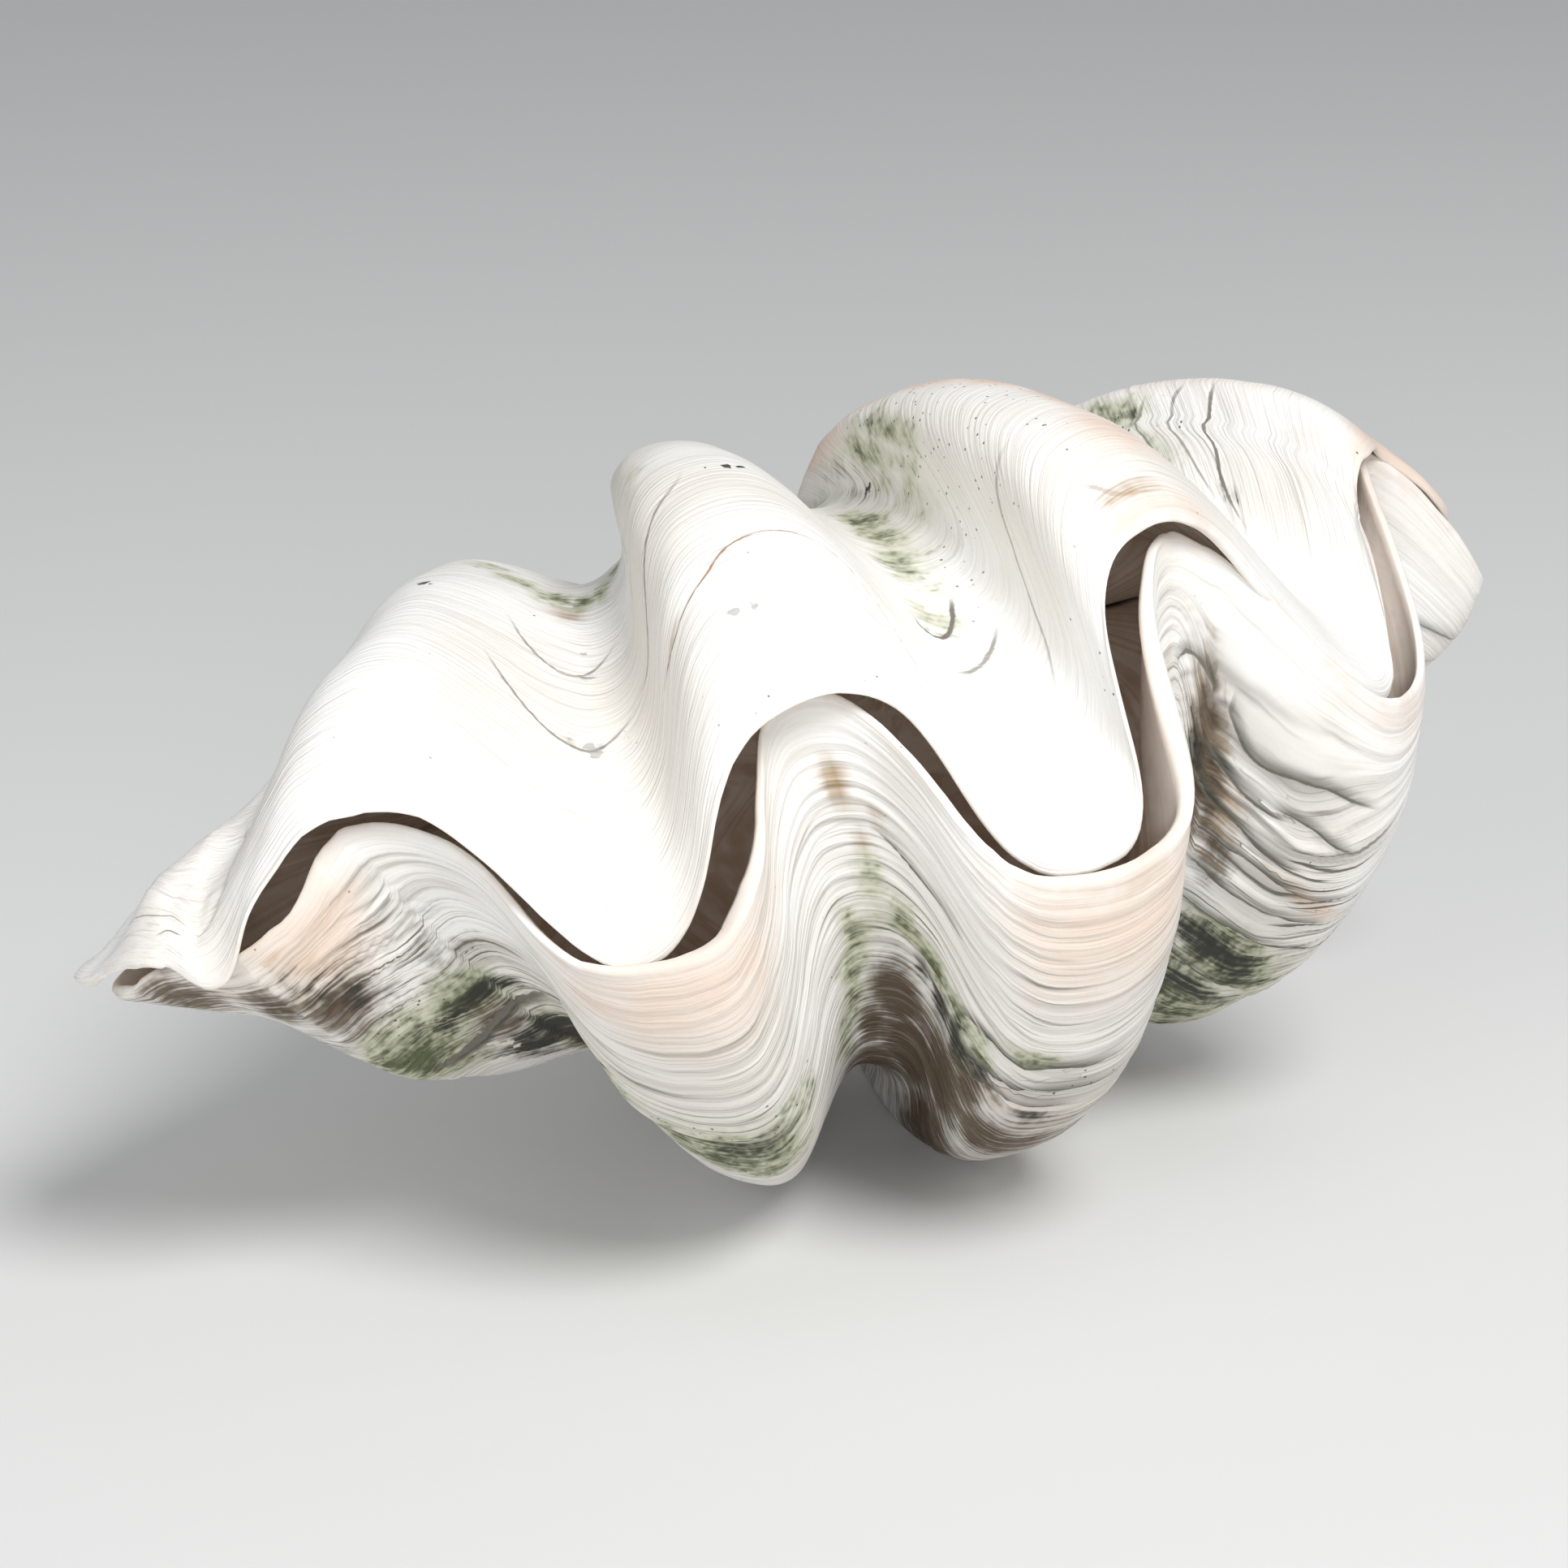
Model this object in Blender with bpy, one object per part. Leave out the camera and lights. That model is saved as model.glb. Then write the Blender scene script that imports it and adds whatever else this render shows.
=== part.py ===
# A complete giant clam shell, two fluted valves nearly closed, as it lies on a table.
# Each valve's margin is one smooth curve through its folds. The valve grows from that curve
# towards its beak: every earlier growth line is the margin again, smaller and turned about the hinge.

import math
from collections import namedtuple

import bmesh
import bpy
import numpy as np
from mathutils import Euler, Vector

# Driving dimensions, in metres and degrees, in the shell's own frame:
# X along the hinge, -Y towards the gape, Z across the plane where the valves meet.
BEAK = (0.165, 0.024)
HINGE_HEADING = 7.0
HINGE_LEFT = 0.26
HINGE_RIGHT = 0.16
HINGE_PLATE = 0.030
LAST_TURN = 150.0
RIM_THICKNESS = 0.011
RIM_LIFT = 2.0
LEVEL_RIM_REACH = 0.14
VALVE_GAP = 0.0004
FLUTES_FADE_TURN = 45.0
FLUTES_FADE = 0.85
THICKENING = 0.07
EVENED_REACH = 0.45
RIM_EVENED_REACH = 0.12
CAVITY_CLOSES_FROM = 80.0
CAVITY_CLOSES_BY = 0.8

# How the shell lies: tipped forward, raised at its right end, and turned a little, in degrees about
# X, Y and Z. Its two lowest ribs are worn flat where they stand.
LIE = (-13.3, -8.8, -4.9)
WORN_DEPTH = 0.003

STEPS_PER_FOLD = 5
GROWTH_ROWS = 18

# One fold of a margin: where it is, the margin's heading there, how far it runs straight before and
# after, how fast the shell shrinks along that rib towards the beak, and how far the rib leans.
Fold = namedtuple("Fold", "x y z heading before after rate lean")

UPPER_FOLDS = [
    Fold(-0.342, -0.190, -0.003, -68, 0.070, 0.033, 0.62, 0.000),
    Fold(-0.317, -0.243, 0.004, -41, 0.010, 0.008, 0.48, -0.006),
    Fold(-0.303, -0.258, -0.008, -41, 0.010, 0.030, 0.50, -0.006),
    Fold(-0.223, -0.310, 0.056, -18, 0.050, 0.050, 0.51, -0.013),
    Fold(-0.123, -0.342, -0.046, -10, 0.036, 0.054, 0.53, -0.018),
    Fold(-0.022, -0.379, 0.057, 8, 0.084, 0.080, 0.54, -0.022),
    Fold(0.092, -0.374, -0.062, -4, 0.066, 0.065, 0.66, -0.018),
    Fold(0.172, -0.360, 0.087, 22, 0.100, 0.070, 0.79, -0.013),
    Fold(0.318, -0.266, -0.048, 44, 0.055, 0.045, 0.80, 0.004),
    Fold(0.362, -0.214, 0.077, 64, 0.066, 0.085, 0.79, 0.019),
    Fold(0.460, -0.120, 0.006, 72, 0.050, 0.050, 0.70, 0.014),
]

LOWER_FOLDS = [
    Fold(-0.330, -0.205, -0.014, -65, 0.050, 0.024, 0.95, 0.000),
    Fold(-0.281, -0.262, -0.010, -49, 0.034, 0.010, 0.62, 0.009),
    Fold(-0.226, -0.292, 0.042, -16, 0.012, 0.070, 0.58, 0.023),
    Fold(-0.114, -0.360, -0.056, -28, 0.080, 0.057, 0.56, 0.026),
    Fold(-0.020, -0.355, 0.047, -20, 0.041, 0.060, 0.61, -0.002),
    Fold(0.095, -0.394, -0.070, 2, 0.085, 0.090, 0.67, -0.037),
    Fold(0.184, -0.336, 0.073, 25, 0.053, 0.027, 0.56, -0.015),
    Fold(0.320, -0.284, -0.056, 37, 0.046, 0.075, 0.48, 0.010),
    Fold(0.374, -0.188, 0.056, 66, 0.036, 0.050, 0.52, 0.006),
    Fold(0.469, -0.120, -0.022, 68, 0.040, 0.060, 0.64, 0.005),
]

# How each valve turns and flattens as it grows: side, power of the turn, height factor, hinge rate.
Growth = namedtuple("Growth", "side power height rate")
UPPER_GROWTH = Growth(1, 1.50, 0.76, 0.68)
LOWER_GROWTH = Growth(-1, 1.24, 1.15, 0.50)

COLLECTION = "giant_clam_shell"
SHARP_ANGLE = 50.0
BEAK_WELD = 1e-5
UPPER_COLOUR = (0.86, 0.84, 0.80)
LOWER_COLOUR = (0.78, 0.73, 0.66)
ROUGHNESS = 0.75


def hinge_axes():
    heading = math.radians(HINGE_HEADING)
    along = np.array([math.cos(heading), math.sin(heading), 0.0])
    back = np.array([-math.sin(heading), math.cos(heading), 0.0])
    up = np.array([0.0, 0.0, 1.0])
    return along, back, up


def with_hinge_ends(folds, growth):
    # The margin starts and ends on the hinge line.
    along = hinge_axes()[0]
    beak = np.array([*BEAK, 0.0])
    left = beak - along * HINGE_LEFT
    right = beak + along * HINGE_RIGHT
    first = Fold(left[0], left[1], 0.0, -150, 0.03, 0.05, growth.rate, 0.0)
    last = Fold(right[0], right[1], 0.0, 150, 0.08, 0.03, growth.rate, 0.0)
    return [first, *folds, last]


def bezier(start, end, t):
    # A level cubic from one fold to the next, leaving and arriving along their headings.
    def direction(fold):
        heading = math.radians(fold.heading)
        return np.array([math.cos(heading), math.sin(heading), 0.0])

    a = np.array(start[:3])
    d = np.array(end[:3])
    b = a + direction(start) * start.after
    c = d - direction(end) * end.before
    s = 1.0 - t
    return a * s**3 + 3.0 * b * s * s * t + 3.0 * c * s * t * t + d * t**3


def margin(folds, steps):
    # The margin's points, with the growth rate and the lean that belong to each.
    points, rates, leans = [], [], []
    for start, end in zip(folds, folds[1:], strict=False):
        for i in range(steps):
            t = i / steps
            blend = t * t * (3.0 - 2.0 * t)
            points.append(bezier(start, end, t))
            rates.append(start.rate + (end.rate - start.rate) * blend)
            leans.append(start.lean + (end.lean - start.lean) * blend)
    points.append(np.array(folds[-1][:3]))
    rates.append(folds[-1].rate)
    leans.append(folds[-1].lean)
    return np.array(points), np.array(rates), np.array(leans)


def growth_line(points, rates, leans, centre, growth, turn, shrink=1.0):
    # The margin as it was earlier: turned about the hinge by the angle given, and shrunk.
    along, back, up = hinge_axes()
    offset = points - centre
    x = offset @ along + leans * math.sin(turn)
    y = offset @ back
    z = offset @ up
    size = np.exp(-rates * turn**growth.power) * shrink
    turned_y = y * math.cos(turn) + growth.side * z * math.sin(turn)
    turned_z = z * math.cos(turn) - growth.side * growth.height * y * math.sin(turn)
    shape = x[:, None] * along + turned_y[:, None] * back + turned_z[:, None] * up
    return centre + size[:, None] * shape


def smoothstep(value):
    value = min(max(value, 0.0), 1.0)
    return value * value * (3.0 - 2.0 * value)


def evened(points, reach, steps):
    # Points evened out over a share of a fold: each moves halfway to the mean of its neighbours.
    for _ in range(round(2.0 * (reach * steps) ** 2)):
        mean = (points[:-2] + points[2:]) / 2.0
        points = points.copy()
        points[1:-1] = (points[1:-1] + mean) / 2.0
    return points


def inner_margin(points, next_line, growth, steps):
    # The rim's inner edge: across the margin, level where the margin is level.
    tangent = np.gradient(points, axis=0)
    tangent /= np.linalg.norm(tangent, axis=1)[:, None]
    upward = next_line - points
    upward /= np.maximum(np.linalg.norm(upward, axis=1), 1e-6)[:, None]
    upward[:, 2] += growth.side * RIM_LIFT * (1.0 - tangent[:, 2] ** 2)
    inward = np.cross(upward, tangent) * growth.side
    # Near the hinge the rim lies level, and its edge stays in front of the hinge plate.
    back = hinge_axes()[1]
    beak = np.array([*BEAK, 0.0])
    inward[:, 2] *= np.clip((beak - points) @ back / LEVEL_RIM_REACH, 0.0, 1.0)
    inward = evened(inward, RIM_EVENED_REACH, steps)
    inward /= np.linalg.norm(inward, axis=1)[:, None]
    edge = points + inward * RIM_THICKNESS
    depth = (edge - beak) @ back
    wanted = -np.hypot(depth, HINGE_PLATE)
    edge += (wanted - depth)[:, None] * back
    edge[[0, -1]] = points[[0, -1]] - back * HINGE_PLATE
    return edge


def groove_line(folds, growth, steps):
    # The height of a line that joins the bottoms of the grooves, at each point of the margin.
    places = [0]
    for i in range(1, len(folds) - 1):
        height = folds[i].z * growth.side
        if height <= folds[i - 1].z * growth.side and height <= folds[i + 1].z * growth.side:
            places.append(i)
    places.append(len(folds) - 1)
    heights = [folds[i].z for i in places]
    count = (len(folds) - 1) * steps + 1
    return np.interp(np.arange(count) / steps, places, heights)


def sheets(folds, growth, steps, rows):
    # Outer and inner surface of a valve, as rows of points from the margin to the beak.
    points, rates, leans = margin(with_hinge_ends(folds, growth), steps)
    back = hinge_axes()[1]
    beak = np.array([*BEAK, 0.0])
    inner_beak = beak - back * HINGE_PLATE
    floor = groove_line(with_hinge_ends(folds, growth), growth, steps)
    turns = [math.radians(LAST_TURN) * (i / (rows - 1)) for i in range(rows)]
    outer = [growth_line(points, rates, leans, beak, growth, turn) for turn in turns]
    edge = inner_margin(points, outer[1], growth, steps)
    inner = []
    for turn in turns:
        fade = smoothstep(math.degrees(turn) / FLUTES_FADE_TURN) * FLUTES_FADE
        line = edge.copy()
        line[:, 2] += (floor - line[:, 2]) * fade
        line = evened(line, EVENED_REACH * math.sqrt(fade), steps)
        closing = (math.degrees(turn) - CAVITY_CLOSES_FROM) / (LAST_TURN - CAVITY_CLOSES_FROM)
        shrink = (1.0 - THICKENING * fade) * (1.0 - CAVITY_CLOSES_BY * smoothstep(closing))
        inner.append(growth_line(line, rates, leans, inner_beak, growth, turn, shrink))
    outer.append(np.repeat(beak[None, :], len(points), axis=0))
    inner.append(np.repeat(inner_beak[None, :], len(points), axis=0))
    return np.array(outer), np.array(inner)


def add_sheet(mesh, grid):
    # One grid primitive laid over the rows of points, its last row drawn together at the beak.
    rows, columns = grid.shape[:2]
    made = bmesh.ops.create_grid(mesh, x_segments=columns - 1, y_segments=rows - 1, size=0.5)
    verts = made["verts"]
    for vert in verts:
        column = round((vert.co.x + 0.5) * (columns - 1))
        row = round((vert.co.y + 0.5) * (rows - 1))
        vert.co = grid[row, column]
    return verts


def solid(folds, growth):
    # The two surfaces, joined all round the rim into one closed body.
    mesh = bmesh.new()
    for grid in sheets(folds, growth, STEPS_PER_FOLD, GROWTH_ROWS):
        bmesh.ops.remove_doubles(mesh, verts=add_sheet(mesh, grid), dist=BEAK_WELD)
    rim = [edge for edge in mesh.edges if edge.is_boundary]
    bmesh.ops.bridge_loops(mesh, edges=rim)
    lift = Vector((0.0, 0.0, growth.side * VALVE_GAP / 2.0))
    bmesh.ops.translate(mesh, verts=mesh.verts, vec=lift)
    bmesh.ops.triangulate(mesh, faces=mesh.faces)
    return mesh


def wear_flat(mesh, turn):
    # The lowest ribs, as the shell lies, ground off on one level.
    up = turn.inverted() @ Vector((0.0, 0.0, 1.0))
    lowest = min(vert.co.dot(up) for vert in mesh.verts)
    level = up * (lowest + WORN_DEPTH)
    everything = [*mesh.verts, *mesh.edges, *mesh.faces]
    bmesh.ops.bisect_plane(mesh, geom=everything, plane_co=level, plane_no=up, clear_inner=True)
    opened = [edge for edge in mesh.edges if edge.is_boundary]
    bmesh.ops.holes_fill(mesh, edges=opened)
    bmesh.ops.triangulate(mesh, faces=mesh.faces)


def valve(name, mesh, colour, collection):
    bmesh.ops.recalc_face_normals(mesh, faces=mesh.faces)
    data = bpy.data.meshes.new(name)
    mesh.to_mesh(data)
    mesh.free()
    data.shade_smooth()
    data.set_sharp_from_angle(angle=math.radians(SHARP_ANGLE))
    thing = bpy.data.objects.new(name, data)
    collection.objects.link(thing)
    material = bpy.data.materials.new(name)
    material.use_nodes = True
    surface = material.node_tree.nodes["Principled BSDF"]
    surface.inputs["Base Color"].default_value = (*colour, 1.0)
    surface.inputs["Roughness"].default_value = ROUGHNESS
    data.materials.append(material)
    return thing


def lay_down(things, turn):
    # The origin comes under the middle of the shell, on the surface it stands on.
    corners = [turn @ vert.co for thing in things for vert in thing.data.vertices]
    low = Vector([min(corner[axis] for corner in corners) for axis in range(3)])
    high = Vector([max(corner[axis] for corner in corners) for axis in range(3)])
    middle = (low + high) / 2.0
    for thing in things:
        thing.rotation_euler = turn.to_euler()
        thing.location = (-middle.x, -middle.y, -low.z)


def main():
    for thing in list(bpy.data.objects):
        bpy.data.objects.remove(thing, do_unlink=True)
    collection = bpy.data.collections.new(COLLECTION)
    bpy.context.scene.collection.children.link(collection)
    turn = Euler([math.radians(angle) for angle in LIE]).to_matrix()
    upper = solid(UPPER_FOLDS, UPPER_GROWTH)
    lower = solid(LOWER_FOLDS, LOWER_GROWTH)
    wear_flat(lower, turn)
    valves = [
        valve("upper_valve", upper, UPPER_COLOUR, collection),
        valve("lower_valve", lower, LOWER_COLOUR, collection),
    ]
    lay_down(valves, turn)


main()
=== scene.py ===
import math

import bpy
import numpy as np
from mathutils import Euler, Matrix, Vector


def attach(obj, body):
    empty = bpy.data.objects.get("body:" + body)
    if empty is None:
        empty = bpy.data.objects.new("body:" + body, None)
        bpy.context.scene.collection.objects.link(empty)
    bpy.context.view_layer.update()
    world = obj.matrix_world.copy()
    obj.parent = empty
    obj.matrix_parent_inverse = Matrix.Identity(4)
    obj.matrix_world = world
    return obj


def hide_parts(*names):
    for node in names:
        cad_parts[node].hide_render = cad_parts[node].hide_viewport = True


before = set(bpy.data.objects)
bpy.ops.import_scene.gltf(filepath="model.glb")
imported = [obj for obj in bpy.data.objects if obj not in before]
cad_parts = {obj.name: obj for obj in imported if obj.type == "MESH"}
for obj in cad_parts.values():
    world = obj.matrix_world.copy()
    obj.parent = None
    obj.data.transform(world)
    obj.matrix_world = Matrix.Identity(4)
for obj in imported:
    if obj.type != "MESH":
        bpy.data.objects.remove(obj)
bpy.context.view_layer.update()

print("frame loaded:", sorted(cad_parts))

# The shell in its own frame: X along the hinge, -Y towards the gape, Z across the plane between the valves.
millimetre = 0.001
foldUnits = (1000, 1000, 1000, 1, 1000, 1000, 1, 1000)  # a fold's lengths are in millimetres too

shellPlan = {
    "beak": (0.165, 0.024),
    "hingeHeading": 7.0,  # degrees
    "hingeLeft": 0.26,
    "hingeRight": 0.16,
    "hingePlate": 0.030,
    "leftEnd": (-150, 0.03, 0.05),  # heading, straight before, straight after
    "rightEnd": (150, 0.08, 0.03),
    "lastTurn": 150.0,  # degrees from the margin to the beak
    "rimThickness": 0.011,
    "rimThickensBy": 9.0,  # degrees of turn
    "swellFades": 14.0,  # degrees of turn
    "rimLift": 2.0,
    "levelRimReach": 0.14,
    "rimEvenedReach": 0.12,
    "valveGap": 0.0004,
    "flutesFadeTurn": 45.0,
    "flutesFade": 0.85,
    "thickening": 0.07,
    "evenedReach": 0.45,
    "cavityClosesFrom": 80.0,
    "cavityClosesBy": 0.8,
    "sealLength": 0.9,  # in folds: from here to each hinge end the valves meet in one plane
    "sealFlat": 0.35,  # and this share of it is level
    "reliefFade": 0.6,  # in folds, from each hinge end
    "reliefFrom": 7.0,  # millimetres from the margin
    "nextLine": 17,  # the growth line next to the margin: this share of the last turn back
    "floorClearance": 0.0003,
    "lie": (-13.3, -8.8, -4.9),  # degrees about X, Y and Z
    "place": (-0.0478, 0.1705, 0.1799),
}

# How finely each valve is meshed.
meshPlan = {
    "stepsPerFold": 48,
    "columns": 340,
    "outerRows": 245,
    "innerEvery": 7,  # one inner row for so many outer rows
    "rimRows": 3,
    "nearSpacing": 1.0,  # row spacing at the margin, against
    "farSpacing": 3.0,  # the spacing near the beak
    "marginRadius": 0.38,  # metres from hinge to margin, for lengths along a rib
    "foldLength": 120.0,  # millimetres along the margin from fold to fold, for distances to a scar
    "turnSteps": 2000,
    "shrinking": (0.6, 1.3),  # rate and power with which rows draw together
    "bendCost": 0.02,  # metres of margin that a radian of bend counts for
    "bendReach": 0.08,  # in folds
}

# Unevenness of the surface: height, waves a fold, waves a metre, seed.
ripples = {
    "coarseChips": (1.1, 5.0, 0.0, 11),
    "fineChips": (0.8, 21.0, 0.0, 12),
    "chipEdges": (0.35, 30.0, 0.0, 13),
    "roughness": (0.45, 0.9, 12.0, 21),
    "longWaves": (1.6, 2.2, 16.0, 22),
    "shortWaves": (0.6, 6.0, 45.0, 23),
    "rimBulge": (0.4, 9.0, 0.0, 31),
    "scarsAcross": (0.7, 8.0, 90.0, 41),
    "scarsDown": (0.6, 9.0, 70.0, 42),
}

# How lamellae, scars and the broken edge are formed, in millimetres.
lamellaForm = {
    "first": 4.0,
    "fineSlope": (3.0, 7.0),
    "boldSlope": (8.0, 18.0),
    "wander": [(2.2, 1.7, 5), (0.8, 6.0, 6)],  # height, waves a fold, seed
    "presence": (0.75, 0.9, 1.1, 7),  # share, swing, waves a fold, seed
    "stepWidth": 1.6,
    "groove": (0.4, 2.2, 1.8),  # share of the height, how far in front, half width
    # the line of painted shade at each lamella's foot:
    "creaseShade": (0.6, 1.2),  # how far in front, half width
}
scarForm = {
    "farthest": 20.0,
    "taper": 5.0,
    "edgeWidth": 1.8,
    "slopesLong": 6.0,
    # how far the scar's dark line and the painted shade in its crevice reach
    "dark": (10.0, 6.0),  # dark as far as this, easing over this
}
edgeForm = {"depth": 1.2, "chipEase": 1.3, "evenRoughness": 0.55}


def hingeAxes():
    heading = math.radians(shellPlan["hingeHeading"])
    along = np.array([math.cos(heading), math.sin(heading), 0.0])
    back = np.array([-math.sin(heading), math.cos(heading), 0.0])
    return along, back, np.array([0.0, 0.0, 1.0])


def beaks():
    # where the outer and the inner surface shrink to
    beak = np.array([*shellPlan["beak"], 0.0])
    return beak, beak - hingeAxes()[1] * shellPlan["hingePlate"]


def smooth(value):
    value = np.clip(value, 0.0, 1.0)
    return value * value * (3.0 - 2.0 * value)


def hump(offset, halfWidth):
    return np.exp(-((offset / halfWidth) ** 2))


def added(name, data):
    thing = bpy.data.objects.new(name, data)
    bpy.context.scene.collection.objects.link(thing)
    return thing


def softNoise(x, y, seed):
    # smooth lattice noise between -1 and 1
    table = np.random.default_rng(seed).uniform(-1.0, 1.0, (64, 64))
    i, j = np.floor(x).astype(int), np.floor(y).astype(int)
    s, t = smooth(x - i), smooth(y - j)
    a, b = table[i % 64, j % 64], table[(i + 1) % 64, j % 64]
    c, d = table[i % 64, (j + 1) % 64], table[(i + 1) % 64, (j + 1) % 64]
    return (a * (1 - s) + b * s) * (1 - t) + (c * (1 - s) + d * s) * t


def ripple(name, fold, age):
    height, perFold, perMetre, seed = ripples[name]
    return height * softNoise(fold * perFold, age * perMetre, seed)


def withHingeEnds(valve):
    along = hingeAxes()[0]
    beak = beaks()[0]
    left = beak - along * shellPlan["hingeLeft"]
    right = beak + along * shellPlan["hingeRight"]
    first = (left[0], left[1], 0.0, *shellPlan["leftEnd"], valve["hingeRate"], 0.0)
    last = (right[0], right[1], 0.0, *shellPlan["rightEnd"], valve["hingeRate"], 0.0)
    return [first, *(np.array(fold) / foldUnits for fold in valve["folds"]), last]


def marginCurve(folds, steps):
    # level cubics from fold to fold, with the growth rate and lean at each point
    points, growing = [], []
    for start, end in zip(folds, folds[1:]):
        leave, arrive = math.radians(start[3]), math.radians(end[3])
        a, d = np.array(start[:3]), np.array(end[:3])
        b = a + np.array([math.cos(leave), math.sin(leave), 0.0]) * start[5]
        c = d - np.array([math.cos(arrive), math.sin(arrive), 0.0]) * end[4]
        for i in range(steps):
            t = i / steps
            s, mix = 1.0 - t, smooth(t)
            points.append(a * s**3 + 3 * b * s * s * t + 3 * c * s * t * t + d * t**3)
            growing.append([start[k] + (end[k] - start[k]) * mix for k in (6, 7)])
    points.append(np.array(folds[-1][:3]))
    growing.append(folds[-1][6:])
    return np.array(points), *np.array(growing).T.copy()


def growthLine(points, rates, leans, centre, valve, turn, shrink=1.0):
    # the margin as it was earlier: turned about the hinge and shrunk; turn may differ from point to point
    along, back, up = hingeAxes()
    offset = points - centre
    turn = np.broadcast_to(turn, rates.shape)
    x = offset @ along + leans * np.sin(turn)
    y, z = offset @ back, offset @ up
    size = np.exp(-rates * turn ** valve["power"]) * shrink
    turnedY = y * np.cos(turn) + valve["side"] * z * np.sin(turn)
    turnedZ = z * np.cos(turn) - valve["side"] * valve["height"] * y * np.sin(turn)
    shape = x[:, None] * along + turnedY[:, None] * back + turnedZ[:, None] * up
    return centre + size[:, None] * shape


def evened(points, reach, steps):
    for _ in range(round(2.0 * (reach * steps) ** 2)):
        mean = (points[:-2] + points[2:]) / 2.0
        points = points.copy()
        points[1:-1] = (points[1:-1] + mean) / 2.0
    return points


def innerMargin(points, nextLine, valve, steps):
    tangent = np.gradient(points, axis=0)
    tangent /= np.linalg.norm(tangent, axis=1)[:, None]
    upward = nextLine - points
    upward /= np.maximum(np.linalg.norm(upward, axis=1), 1e-6)[:, None]
    upward[:, 2] += valve["side"] * shellPlan["rimLift"] * (1.0 - tangent[:, 2] ** 2)
    inward = np.cross(upward, tangent) * valve["side"]
    back = hingeAxes()[1]
    beak = beaks()[0]
    inward[:, 2] *= np.clip((beak - points) @ back / shellPlan["levelRimReach"], 0.0, 1.0)
    inward = evened(inward, shellPlan["rimEvenedReach"], steps)
    inward /= np.linalg.norm(inward, axis=1)[:, None]
    edge = points + inward * shellPlan["rimThickness"]
    depth = (edge - beak) @ back
    edge += (-np.hypot(depth, shellPlan["hingePlate"]) - depth)[:, None] * back
    edge[[0, -1]] = points[[0, -1]] - back * shellPlan["hingePlate"]
    return edge


def grooveHeights(folds, valve, steps):
    places = [0]
    for i in range(1, len(folds) - 1):
        height = folds[i][2] * valve["side"]
        if height <= folds[i - 1][2] * valve["side"] and height <= folds[i + 1][2] * valve["side"]:
            places.append(i)
    places.append(len(folds) - 1)
    count = (len(folds) - 1) * steps + 1
    return np.interp(np.arange(count) / steps, places, [folds[i][2] for i in places])


def rowTurns():
    # rows close together at the margin and wider apart towards the beak
    last = math.radians(shellPlan["lastTurn"])
    fine = np.linspace(0.0, last, meshPlan["turnSteps"])
    rate, power = meshPlan["shrinking"]
    size = np.exp(-rate * fine**power)
    wanted = meshPlan["nearSpacing"] + (meshPlan["farSpacing"] - meshPlan["nearSpacing"]) * fine / last
    rows = np.concatenate([[0.0], np.cumsum((size / wanted)[1:] * np.diff(fine))])
    turns = np.interp(np.linspace(0.0, rows[-1], meshPlan["outerRows"]), rows, fine)
    length = np.concatenate([[0.0], np.cumsum(size[1:] * np.diff(fine))]) * meshPlan["marginRadius"]
    return turns, np.interp(turns, fine, length)


def evenColumns(points, folds, steps):
    # where along the margin the columns stand: even in length, closer at the tight turns
    run = np.linalg.norm(np.diff(points, axis=0), axis=1)
    tangent = np.diff(points, axis=0) / run[:, None]
    bend = np.zeros(len(run))
    bend[1:] = np.linalg.norm(np.diff(tangent, axis=0), axis=1)
    cost = run + meshPlan["bendCost"] * evened(bend, meshPlan["bendReach"], steps)
    cost = np.concatenate([[0.0], np.cumsum(cost)])
    return np.interp(np.linspace(0.0, cost[-1], meshPlan["columns"]), cost, np.arange(len(points)))


def pick(values, columns):
    low = np.minimum(np.floor(columns).astype(int), len(values) - 2)
    share = (columns - low).reshape(-1, *[1] * (values.ndim - 1))
    return values[low] * (1 - share) + values[low + 1] * share


def growthSteps(valve, fold, growth):
    # lamellae: each old margin stands a little proud and slopes away towards the beak
    plan = valve["lamellae"]
    draw = np.random.default_rng(plan["seed"])
    age = growth / millimetre
    height = np.zeros_like(age)
    creaseShade = np.zeros_like(age)
    share, swing, presentPerFold, presentSeed = lamellaForm["presence"]
    depth, grooveAt, grooveWidth = lamellaForm["groove"]
    creaseAt, creaseWidth = lamellaForm["creaseShade"]
    place = lamellaForm["first"]
    count = 0
    while place < age.max():
        tall = draw.uniform(*plan["fineHeight"])
        slope = draw.uniform(*lamellaForm["fineSlope"])
        if draw.random() < plan["boldShare"]:
            tall = draw.uniform(*plan["boldHeight"])
            slope = draw.uniform(*lamellaForm["boldSlope"])
        shift = draw.uniform(0.0, 60.0, 3)
        off = age - place
        for start, (amount, perFold, seed) in zip(shift, lamellaForm["wander"]):
            off = off - amount * softNoise(fold * perFold + start, fold * 0, seed)
        present = smooth(share + swing * softNoise(fold * presentPerFold + shift[2], fold * 0, presentSeed))
        step = smooth(off / lamellaForm["stepWidth"] + 0.5)
        height += tall * present * step * np.exp(-np.maximum(off, 0.0) / slope)
        height -= depth * tall * present * hump(off + grooveAt, grooveWidth)
        # a line of painted shade at the foot of each lamella
        creaseShade += (tall / plan["boldHeight"][1]) ** 0.5 * present * hump(off + creaseAt, creaseWidth)
        place += draw.uniform(*plan["spacing"])
        count += 1
    print("   lamellae:", count)
    return height * millimetre, np.clip(creaseShade, 0.0, 1.0)


def patchField(patches, fold, age):
    # soft ovals over the valve, each about a place given as a fold and a length back from the margin
    total = np.zeros_like(age)
    for place, length, halfWidth, halfLength, strength in patches:
        oval = hump(fold - place, halfWidth) * hump(age / millimetre - length, halfLength)
        total = np.maximum(total, strength * oval)
    return total


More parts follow.
